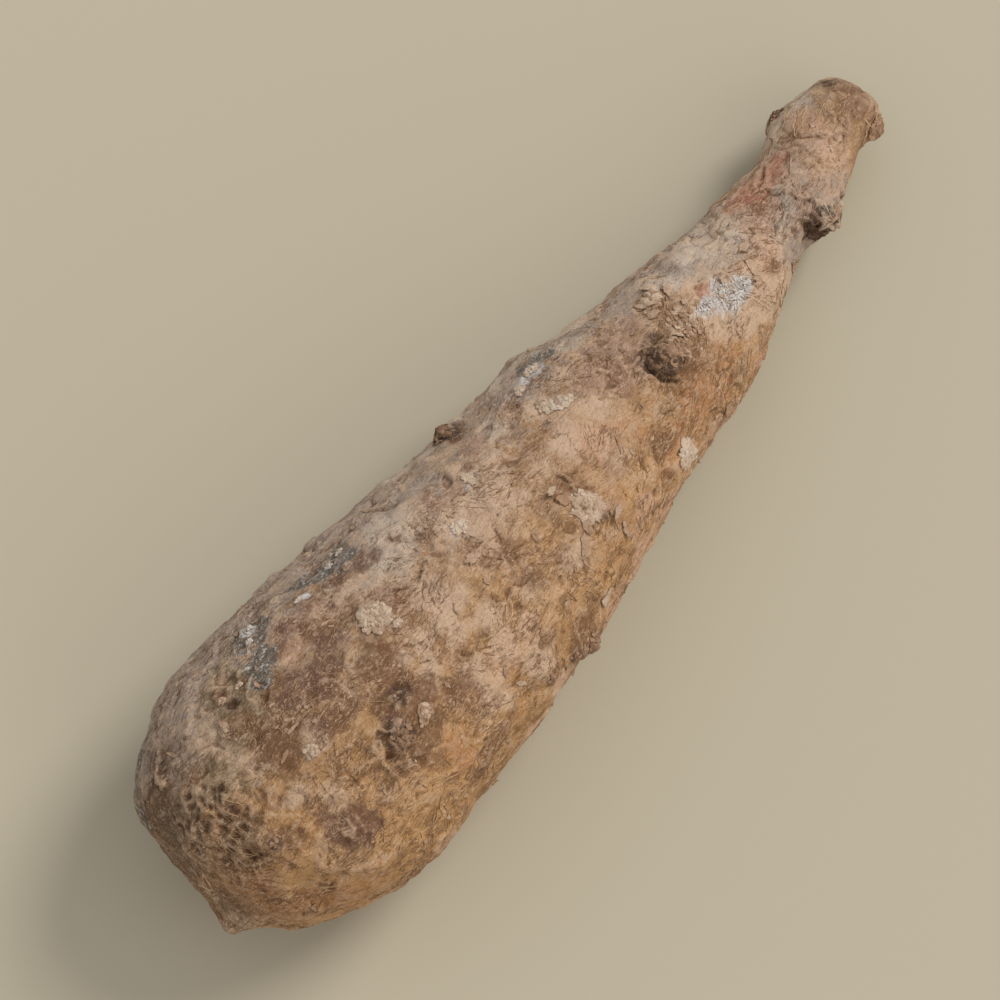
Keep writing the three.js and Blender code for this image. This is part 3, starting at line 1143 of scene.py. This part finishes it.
# %% Chalk, cracked and gritty
chalk = bark.patch("chalk", edge, 0.24, 2.1)
bark.coat(chalk, colour(206, 200, 194), 0.85)
bark.coat(bark.part(bark.step(speck, 0.5, 0.64), 0.8), colour(230, 226, 222), chalk)
bark.coat(bark.part(bark.step(grit, 0.46, 0.34), 0.5), colour(120, 108, 98), chalk)
bark.coat(bark.part(bark.threads(bark.noise(2.6, 3, 0.6, 1.2), 0.05), 0.4), colour(112, 98, 86), chalk)

# %% Pale flecks on slate, and painted shade in cracks, pits and pocks
flecks = bark.math("MULTIPLY_ADD", grit, 0.5, bark.part(speck, 0.5))
flecks = bark.part(bark.step(flecks, 0.54, 0.6), 0.7)
bark.coat(bark.patch("slate", edge, 0.2, 1.2), colour(196, 196, 192), flecks)
# painted shade inside cracks, pits and pocks
bark.coat(bark.step(bark.field("hollow_shade"), 0.15, 0.9), colour(70, 48, 34), 0.75)

# %% Fine relief, roughness and dullness
height = bark.math("ADD", bark.part(strokes, 0.5), bark.part(grain, 0.2))
height = bark.math("ADD", height, bark.part(grit, 0.5))
height = bark.math("ADD", height, bark.part(speck, 0.7))
bark.bumped(height, 0.85)
bark.finish(roughness=bark.math("ADD", bark.part(speck, 0.25), 0.72), shine=0.25)

# %% Dress the root in its bark
skin.data.materials.clear()
skin.data.materials.append(bark.material)
skin.data.polygons.foreach_set("material_index", [0] * len(skin.data.polygons))
skin.data.shade_smooth()
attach(skin, "root")
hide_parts("taro_root")
print(f"the bark has {len(bark.tree.nodes)} shader nodes")
skin_tree = tree_of(skin)

# %% [markdown]
# ## Flakes and crust
#
# Old bark peels in thin flakes, and pale crust sits on it in broken plates. Both have
# crisp edges and throw small shadows, so they are pieces of their own. We draw two round
# blanks with inset rings, a fine sheet and a coarse chip. Each flake is a copy of one, with
# a ragged outline, laid on the skin and curled up at one edge. Solidify then gives them
# all their thickness.

# %% Two round blanks


def blank(name, rim_points, rings):
    """A flat disc with inset rings, so that it can bend."""
    bpy.ops.object.select_all(action="DESELECT")
    bpy.ops.mesh.primitive_circle_add(vertices=rim_points, radius=1, fill_type="NGON")
    disc = bpy.context.object
    disc.name = name
    bpy.ops.object.mode_set(mode="EDIT")
    bpy.ops.mesh.select_all(action="SELECT")
    for ring in rings:
        bpy.ops.mesh.inset(thickness=ring)
    bpy.ops.mesh.poke()
    bpy.ops.object.mode_set(mode="OBJECT")
    print(f"{name} has {len(disc.data.polygons)} faces")
    return disc


sheet = blank("sheet", rim_points=36, rings=(0.08, 0.14, 0.18, 0.2, 0.2))
chip = blank("chip", rim_points=13, rings=(0.2, 0.4))

# %% Lay one flake
flakes = []
DROPPED_FROM = 9
DEEPEST_DROP = 2.5 * MM
UNEVEN = 0.34
BROAD_LOBES = 1.3
FINE_LOBES = 4.0
DENTS = 0.7
CURL_START = 0.2


def flake(spot, length, width, curl, tone, dome, lift=0.1, form=sheet, rough=0.3):
    """A ragged plate dropped on the skin and curled up at its front edge, in mm.

    Where the skin falls away too far below, as beside a knob, it keeps to the nearest skin.
    """
    mesh = form.data.copy()
    salt = random.uniform(0, 100)
    rims = []
    for vertex in mesh.vertices:
        out = vertex.co.length
        way = vertex.co / max(out, 0.001)
        ragged = 1 + UNEVEN * noise.noise(way * BROAD_LOBES + Vector((salt, 0, 0)))
        ragged += rough * noise.noise(way * FINE_LOBES + Vector((0, salt, 0)))
        ahead = vertex.co.x * length * ragged
        aside = vertex.co.y * width * ragged
        place, _, _, _ = skin_tree.ray_cast(spot.at(ahead, aside, DROPPED_FROM), -spot.out)
        if place is None or (spot.place - place).dot(spot.out) > DEEPEST_DROP:
            place, _, _, _ = skin_tree.find_nearest(spot.at(ahead, aside))
        uneven = UNEVEN * noise.noise(Vector((ahead, aside, salt)) * DENTS)
        front = max(0, way.x * out + CURL_START)
        rise = lift + dome * (1 - out**2) + curl * front**2 * out + uneven
        vertex.co = place + spot.out * rise * MM
        rims.append(out)
    piece = bpy.data.objects.new("flake", mesh)
    bpy.context.scene.collection.objects.link(piece)
    layer = mesh.attributes.new("tone", "FLOAT", "POINT")
    layer.data.foreach_set("value", [tone] * len(rims))
    layer = mesh.attributes.new("rim", "FLOAT", "POINT")
    layer.data.foreach_set("value", rims)
    flakes.append(piece)


# %% Pack grains, and lay a crust of them
# Chance picks within these, as shares of the patch, of the grain's size and of its length.
GRAIN_REACH = (0.8, 1.15)
GRAIN_LENGTH = (0.5, 1.3)
GRAIN_WIDTH = (0.5, 0.9)
# And within these, in mm.
GRAIN_CURL = (0.0, 0.3)
GRAIN_LIFT = (-0.1, 0.25)


def lay_grains(spot, length, width, count, size, tone, thick=0.3, dome=0.3, variety=0.2, rough=0.3):
    """Small scales packed like seeds over a patch, each in its own tone."""
    for index in range(count):
        reach = math.sqrt((index + 0.5) / count) * random.uniform(*GRAIN_REACH)
        angle = GOLDEN_TURN * index
        ahead = reach * length * math.cos(angle)
        aside = reach * width * math.sin(angle)
        grain = spot.moved(ahead, aside, random.uniform(0, 360))
        spread = size * random.uniform(*GRAIN_LENGTH)
        flake(
            grain, spread, spread * random.uniform(*GRAIN_WIDTH), curl=random.uniform(*GRAIN_CURL),
            tone=tone + random.uniform(-variety, variety), dome=dome,
            lift=thick * (1 - reach**2) + random.uniform(*GRAIN_LIFT), form=chip, rough=rough,
        )


SHEET_DARKER = 0.08


def lay_crust(along, around, length, width, grains, size, tone, turn, thick):
    """One ragged sheet with grains packed over it, like dried lime."""
    spot = Spot(along, around, turn)
    flake(spot, length, width, 0, tone - SHEET_DARKER, dome=thick, rough=0.5)
    lay_grains(spot, length, width, grains, size, tone, thick)


# %% Join flakes into one finished piece


SHARPEST_SMOOTH = math.radians(60)


def join_flakes(name, thickness):
    """All flakes laid so far become one closed piece of that thickness, in mm."""
    pick(flakes[0])
    for piece in flakes:
        piece.select_set(True)
    bpy.ops.object.join()
    joined = flakes[0]
    joined.name = name
    joined.data.name = name
    apply_modifier(joined, "SOLIDIFY", thickness=thickness * MM, offset=1)
    joined.data.materials.clear()
    joined.data.materials.append(crust.material)
    pick(joined)
    bpy.ops.object.shade_smooth_by_angle(angle=SHARPEST_SMOOTH)
    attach(joined, "root")
    flakes.clear()
    print(f"{name}: {len(joined.data.polygons)} faces")


# %% [markdown]
# Crust, chalk and scabs are all dried earth and cork, so they share one finish. Each flake
# carries a tone: below 0 it is dark cork, near 0.5 it is cream and near 1 it is white.

# %% The finish of crust
crust = Shader("crust")
flake_tone = crust.field("tone")
chips = crust.noise(1.3, 4, 0.65, 0.4)
stains = crust.noise(4, 4, 0.6, 0.4)
fibrous = crust.noise(0.7, 3, 0.65, 0.3)

cream = crust.step(flake_tone, 0.0, 0.5)
crust.tone = crust.mix(cream, colour(166, 130, 102), colour(208, 184, 160))
crust.coat(crust.step(flake_tone, 0.5, 1.0), colour(214, 210, 206))
crust.coat(crust.step(flake_tone, 0.0, -0.7), colour(82, 62, 48))
crust.coat(crust.step(stains, 0.5, 0.66), colour(160, 128, 102), 0.5)
crust.coat(crust.step(chips, 0.46, 0.32), colour(130, 98, 72), 0.5)
less_on_dark = crust.part(crust.step(flake_tone, -0.5, 0.2), 0.45)
crust.coat(crust.step(chips, 0.56, 0.68), colour(222, 206, 182), less_on_dark)
crust.coat(crust.step(fibrous, 0.47, 0.32), colour(128, 96, 72), 0.3)
crust.coat(crust.step(crust.field("rim"), 0.85, 1.0), colour(132, 98, 70), 0.25)
crust.bumped(crust.math("ADD", chips, crust.part(fibrous, 0.5)), 0.7)
crust.finish(roughness=0.85, shine=0.25)
print(f"the crust has {len(crust.tree.nodes)} shader nodes")

# %% [markdown]
# Pale crust is dried earth and old bark that sticks in raised, crumbly plates. One ragged
# sheet gives each plate its outline, and grains packed over it give the crumbly top.

# %% Pale crusts
# along, around, half length, half width, grains, their size, tone, turn, thickness
PALE_CRUSTS = [
    (98, 81, 5.2, 5.2, 90, 0.8, 0.36, 0, 0.3),
    (101, 90, 1.6, 1.2, 8, 0.6, 0.4, 0, 0.3),
    (84, 120, 3.4, 2.0, 34, 0.6, 0.18, 40, 0.3),
    (170, 118, 5.8, 5.0, 100, 0.7, 0.38, 120, 0.6),
    (191, 73, 5.4, 2.4, 46, 0.7, 0.6, -28, 0.5),
    (188, 66, 3.0, 1.8, 20, 0.6, 0.36, 30, 0.3),
    (138, 79, 3.2, 2.2, 16, 0.6, 0.6, 0, 0.05),
    (153, 66, 2.4, 1.8, 9, 0.6, 0.5, 0, 0.1),
    (196, 47, 3.0, 1.6, 14, 0.7, 0.66, 0, 0.1),
    (188, 49, 2.0, 1.4, 10, 0.7, 0.6, 0, 0.1),
    (72, 42, 1.4, 1.0, 9, 0.4, 0.7, 0, 0.1),
    (104, 43, 1.6, 1.2, 8, 0.6, 0.85, 0, 0.1),
    (110, 41, 1.4, 1.2, 7, 0.6, 0.8, 0, 0.1),
    (89, 50, 1.6, 1.0, 6, 0.6, 0.75, 0, 0.1),
    (69, 47, 1.4, 1.0, 8, 0.4, 0.9, 0, 0.05),
    (209, 160, 4.6, 6.4, 24, 0.9, 0.6, 20, 0.5),
    (53, 98, 2.4, 2.0, 16, 0.6, 0.28, 0, 0.1),
    (49, 56, 1.4, 1.1, 7, 0.5, 0.25, 0, 0.3),
    (56, 57, 1.1, 0.8, 6, 0.4, 0.25, 0, 0.3),
]
for row in PALE_CRUSTS:
    lay_crust(*row)

# Loose grains lie between the knob and the crust above it.
lay_grains(Spot(240, 92), 6.5, 6.0, 26, 0.9, 0.2, thick=0.0, dome=0.4, rough=0.6)
join_flakes("pale_crust", 0.35)

# %% [markdown]
# The grey patches and the white one beside the knob are chalky: scales as thin as paper,
# whiter than the crust. They are the same chips, smaller, flatter and with no sheet.

# %% Chalky scales by the knob and specks on the neck
lay_grains(Spot(259, 106), 5.0, 4.6, 110, 0.5, 0.85, thick=0, dome=0.08, variety=0.3, rough=0.8)
lay_grains(Spot(263, 112), 3.4, 2.6, 40, 0.45, 0.95, thick=0, dome=0.08, rough=0.8)
lay_grains(Spot(250, 98), 3.6, 1.6, 30, 0.45, 0.9, thick=0, dome=0.08, rough=0.8)
lay_grains(Spot(316, 124), 8.0, 5.0, 20, 0.4, 0.2, thick=0, dome=0.1, rough=0.6)
lay_grains(Spot(322, 112), 1.4, 1.2, 8, 0.6, 0.3, thick=0, dome=0.1, rough=0.6)
join_flakes("chalk_scales", 0.12)

# %% [markdown]
# Knobs are scars of side roots, capped with dark cork that breaks into grains. Such scabs
# also line the underside of the lip at the neck and the torn edge of the head. Under the lip
# and on the knob's lower-left side the darkest of them are painted shade. Only the
# grains' size and tone differ from the crust's.

# %% Dark scabs
# along, around, half length, half width, grains, their size, tone
SCABS = [
    (230, 101, 5.6, 5.6, 40, 1.1, -0.05),
    (228, 101, 6.8, 6.8, 80, 0.5, -0.2),
    # these two, on the knob's lower-left side and lower edge, are darkest as painted shade
    (223, 98, 3.4, 5.6, 56, 0.8, -0.6),
    (225, 108, 4.6, 2.4, 30, 0.8, -0.6),
    (163, 26, 4.0, 4.6, 50, 0.8, -0.4),
    (140, 168, 3.8, 3.6, 40, 0.8, -0.15),
    (134, 163, 2.8, 2.6, 24, 0.7, -0.2),
    (122, 157, 2.0, 1.8, 14, 0.6, -0.2),
    (73, 119, 5.0, 3.8, 50, 0.8, -0.35),
    (322, 19, 2.6, 2.4, 16, 0.6, -0.3),
    (341, 182, 3.0, 2.6, 26, 0.7, -0.2),
    (240, 63, 6.0, 3.6, 60, 0.8, 0.12),
    # under the lip, darkest as painted shade
    (300, 161, 3.0, 4.6, 44, 0.9, -0.7),
    (340, 172, 3.4, 4.6, 30, 1.0, -0.05),
    (25, 111, 2.6, 2.4, 16, 0.8, -0.35),
]
for along, around, *manner in SCABS:
    lay_grains(Spot(along, around), *manner, dome=0.25, variety=0.3, rough=0.7)
join_flakes("dark_scabs", 0.3)

# %% [markdown]
# Thin plates of bark come loose at one edge and curl up, most of them round the knob, at
# the crust on the back and at the torn head. These are placed by name. A scatter of small
# ones, by chance, covers the rest.

# %% Peeling flakes
# along, around, turn, half length, half width, curl, tone, dome
PEELING = [
    (165, 99, 190, 3.2, 1.2, 2.2, 0.3, 0.0),
    (166, 106, 150, 3.0, 1.8, 0.8, 0.06, 0.2),
    (165, 124, 250, 2.4, 1.4, 0.8, 0.16, 0.3),
    (171, 126, 290, 2.6, 1.6, 2.2, 0.2, 0.0),
    (169, 120, 60, 2.2, 1.4, 1.8, 0.3, 0.4),
    (176, 134, 200, 2.8, 1.1, 1.4, 0.24, 0.2),
    (174, 144, 240, 3.0, 1.0, 1.4, 0.2, 0.2),
    (160, 128, 215, 3.8, 1.3, 0.3, 0.16, 0.3),
    (154, 160, 190, 3.4, 1.3, 0.8, 0.4, 0.2),
    (243, 55, 195, 2.2, 3.0, 0.6, 0.42, 0.5),
    (238, 63, 235, 2.4, 3.8, 0.7, 0.3, 0.6),
    (236, 72, 260, 1.6, 2.2, 0.4, 0.2, 0.5),
    (246, 66, 150, 1.4, 2.2, 0.4, 0.24, 0.5),
    (234, 97, 205, 1.8, 2.6, 0.6, 0.34, 0.5),
    (231, 108, 220, 1.6, 2.0, 0.7, 0.2, 0.5),
    (226, 107, 190, 1.4, 1.8, 0.5, 0.06, 0.5),
    (338, 168, 200, 2.2, 3.0, 0.9, 0.02, 0.3),
    (342, 160, 230, 1.6, 2.6, 0.7, 0.1, 0.3),
    (285, 164, 20, 2.4, 1.4, 1.6, 0.1, 0.1),
    (231, 172, 200, 2.6, 1.6, 1.4, 0.1, 0.1),
    (43, 66, 80, 2.4, 1.2, 1.0, 0.2, 0.1),
    (262, 96, 150, 2.6, 1.6, 0.9, 0.3, 0.1),
    (276, 92, 190, 2.8, 1.4, 0.7, 0.3, 0.1),
    (132, 93, 180, 3.0, 1.8, 0.6, 0.2, 0.1),
    (56, 87, 4, 3.4, 0.5, 0.2, 0.12, 0.2),
    (47, 92, 10, 2.6, 0.5, 0.2, 0.1, 0.2),
]
for along, around, turn, *manner in PEELING:
    flake(Spot(along, around, turn), *manner)
print(f"{len(flakes)} flakes placed by name")

# %% Small flakes scattered over the root
SMALL_FLAKES = 80
for _ in range(SMALL_FLAKES):
    spot = Spot(random.uniform(12, 262), random.uniform(-30, 210), random.uniform(0, 360))
    size = random.uniform(0.6, 1.7)
    flake(
        spot, size, size * random.uniform(0.3, 0.6), curl=random.uniform(0.2, 0.9),
        tone=random.uniform(0.1, 0.3), dome=0.1, lift=0.0, form=chip,
    )
join_flakes("bark_flakes", 0.3)
bpy.data.objects.remove(sheet)
bpy.data.objects.remove(chip)

# %% [markdown]
# ## Root fibres
#
# Thousands of fine dry fibres lie matted on the bark, and a few long ones are left, most of
# them pale and at the neck. One fibre is a thin three-sided cylinder, cut into lengths so
# that it can bend. We repeat its points and faces along curved paths on the skin.
# Particles or hair curves would be quicker to comb, but they aren't real faces.

# %% One fibre
FIBRE_CUTS = 6
bpy.ops.object.select_all(action="DESELECT")
bpy.ops.mesh.primitive_cylinder_add(
    vertices=3, radius=1, depth=1, end_fill_type="TRIFAN", location=(0, 0, 0.5)
)
fibre = bpy.context.object
bpy.ops.object.mode_set(mode="EDIT")
for cut in range(1, FIBRE_CUTS):
    bpy.ops.mesh.select_all(action="SELECT")
    bpy.ops.mesh.bisect(plane_co=(0, 0, cut / FIBRE_CUTS), plane_no=(0, 0, 1))
bpy.ops.mesh.select_all(action="SELECT")
bpy.ops.mesh.quads_convert_to_tris()
bpy.ops.object.mode_set(mode="OBJECT")
fibre_points = points_of(fibre.data)
fibre_faces = np.array([list(face.vertices) for face in fibre.data.polygons])
bpy.data.objects.remove(fibre)
print(f"one fibre has {len(fibre_faces)} faces")

# %% Lay fibres along the skin
fibre_places = []
fibre_tones = []
TAPER = 0.7
SWAY_TURNS = (2.4, 5.5)


def lay_fibre(start, out, turn, length, thick, bend, arch, tone):
    """A fibre on the skin from a place, turned about it; bend and arch are shares of length."""
    ahead = Vector((1, 0, 0))
    ahead = (ahead - ahead.dot(out) * out).normalized()
    ahead.rotate(Quaternion(out, math.radians(turn)))
    aside = out.cross(ahead)
    spine = []
    for step in np.linspace(0, 1, FIBRE_CUTS + 1):
        sway = bend * (math.sin(SWAY_TURNS[0] * step) + 0.5 * math.sin(SWAY_TURNS[1] * step)) * length
        guess = start + (ahead * step * length + aside * sway) * MM
        near, _, _, _ = skin_tree.find_nearest(guess)
        spine.append(near + out * (thick + arch * length * math.sin(math.pi * step)) * MM)
    rows = np.rint(fibre_points[:, 2] * FIBRE_CUTS).astype(int)
    taper = 1 - TAPER * fibre_points[:, 2]
    spine = np.array(spine)[rows]
    ring = fibre_points[:, :1] * np.array(aside) + fibre_points[:, 1:2] * np.array(out)
    fibre_places.append(spine + ring * (taper * thick * MM)[:, None])
    fibre_tones.append(np.full(len(rows), tone))


# %% The mat of short fibres, thickest where the bark is matted
MAT_FIBRES = 3400
BARE_FOOT = 6 * MM
SWIRL_WAVE = 45
SWIRL_TURN = 150
STRAY_TURN = 14
matted_field = np.empty(len(skin.data.vertices), np.float32)
skin.data.attributes["matted"].data.foreach_get("value", matted_field)
skin_points = points_of(skin.data)
skin_ways = normals_of(skin.data)
laid = 0
while laid < MAT_FIBRES:
    index = random.randrange(len(skin_points))
    start = Vector(skin_points[index])
    dusty = start.y > random.uniform(10, 24) * MM
    if dusty or start.z < BARE_FOOT or matted_field[index] < random.uniform(0.0, 0.9):
        continue
    turn = SWIRL_TURN * noise.noise(start * SWIRL_WAVE) + random.gauss(0, STRAY_TURN)
    lay_fibre(
        start, Vector(skin_ways[index]), turn,
        length=random.uniform(2.5, 7.0), thick=random.uniform(0.04, 0.08),
        bend=random.uniform(-0.12, 0.12), arch=random.uniform(0.0, 0.03),
        tone=random.triangular(0, 0.9, 0.5),
    )
    laid += 1
print(f"{laid} short fibres")

# %% Long fibres, most of them at the neck
# along, around, turn, length, thickness, bend, arch, tone
LONG_FIBRES = [
    (318, 64, 20, 13, 0.16, 0.12, 0.05, 0.9), (319, 58, 38, 11, 0.14, -0.1, 0.04, 0.8),
    (321, 42, -20, 9, 0.16, 0.1, 0.08, 0.9), (322, 48, 60, 8, 0.12, 0.2, 0.06, 0.7),
    (327, 80, 10, 6, 0.14, 0.2, 0.08, 1.0), (329, 83, 130, 5, 0.14, 0.2, 0.08, 1.0),
    (330, 85, 70, 5, 0.12, -0.2, 0.1, 0.9), (323, 96, 80, 8, 0.1, 0.1, 0.03, 0.9),
    (318, 72, 70, 12, 0.12, -0.15, 0.03, 0.6), (316, 60, 100, 9, 0.12, 0.2, 0.05, 0.3),
    (278, 105, -60, 6, 0.14, 0.3, 0.06, 1.0), (273, 90, -80, 6, 0.14, 0.25, 0.06, 1.0),
    (270, 114, 60, 6, 0.14, 0.1, 0.1, 0.2), (269, 120, 130, 5, 0.14, -0.1, 0.1, 0.2),
    (268, 118, 10, 5, 0.14, 0.1, 0.06, 0.2), (304, 148, 60, 8, 0.2, 0.3, 0.1, 0.9),
    (337, 170, 40, 8, 0.24, 0.2, 0.06, 0.6), (342, 172, -30, 6, 0.22, 0.2, 0.08, 0.5),
    (340, 180, 10, 6, 0.24, -0.2, 0.08, 0.3), (333, 176, 60, 7, 0.22, 0.2, 0.06, 0.7),
    (338, 176, 100, 6, 0.2, -0.2, 0.08, 0.5), (344, 174, 130, 5, 0.2, 0.1, 0.08, 0.2),
    (336, 166, 75, 9, 0.24, -0.1, 0.12, 0.8), (341, 166, 60, 8, 0.22, 0.2, 0.12, 0.7),
    (6, 130, 70, 9, 0.22, 0.2, 0.08, 0.8), (4, 118, 100, 8, 0.22, -0.2, 0.08, 0.6),
]
for along, around, *manner in LONG_FIBRES:
    start, out, _, _ = skin_tree.find_nearest(on_skin(along, around)[0])
    lay_fibre(start, out, *manner)
print(f"{len(LONG_FIBRES)} long fibres")

# %% Make the fibres one mesh
count = len(fibre_places)
all_faces = fibre_faces[None] + (np.arange(count) * len(fibre_points))[:, None, None]
fibre_mesh = bpy.data.meshes.new("root_fibres")
fibre_mesh.from_pydata(np.concatenate(fibre_places).tolist(), [], all_faces.reshape(-1, 3).tolist())
fibres = bpy.data.objects.new("root_fibres", fibre_mesh)
bpy.context.scene.collection.objects.link(fibres)
layer = fibre_mesh.attributes.new("tone", "FLOAT", "POINT")
layer.data.foreach_set("value", np.concatenate(fibre_tones).astype(np.float32))

# %% The finish of the fibres, like straw
straw = Shader("straw")
pale = straw.step(straw.field("tone"), 0.2, 0.85)
straw.tone = straw.mix(pale, colour(118, 82, 52), colour(210, 176, 138))
straw.coat(straw.step(straw.noise(2.0, 3), 0.45, 0.6), colour(150, 114, 80), 0.35)
straw.bumped(straw.noise(0.5, 2), 0.1)
straw.finish(roughness=0.75, shine=0.3)
fibre_mesh.materials.append(straw.material)
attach(fibres, "root")
print(f"{count} fibres, {len(fibre_mesh.polygons)} faces")
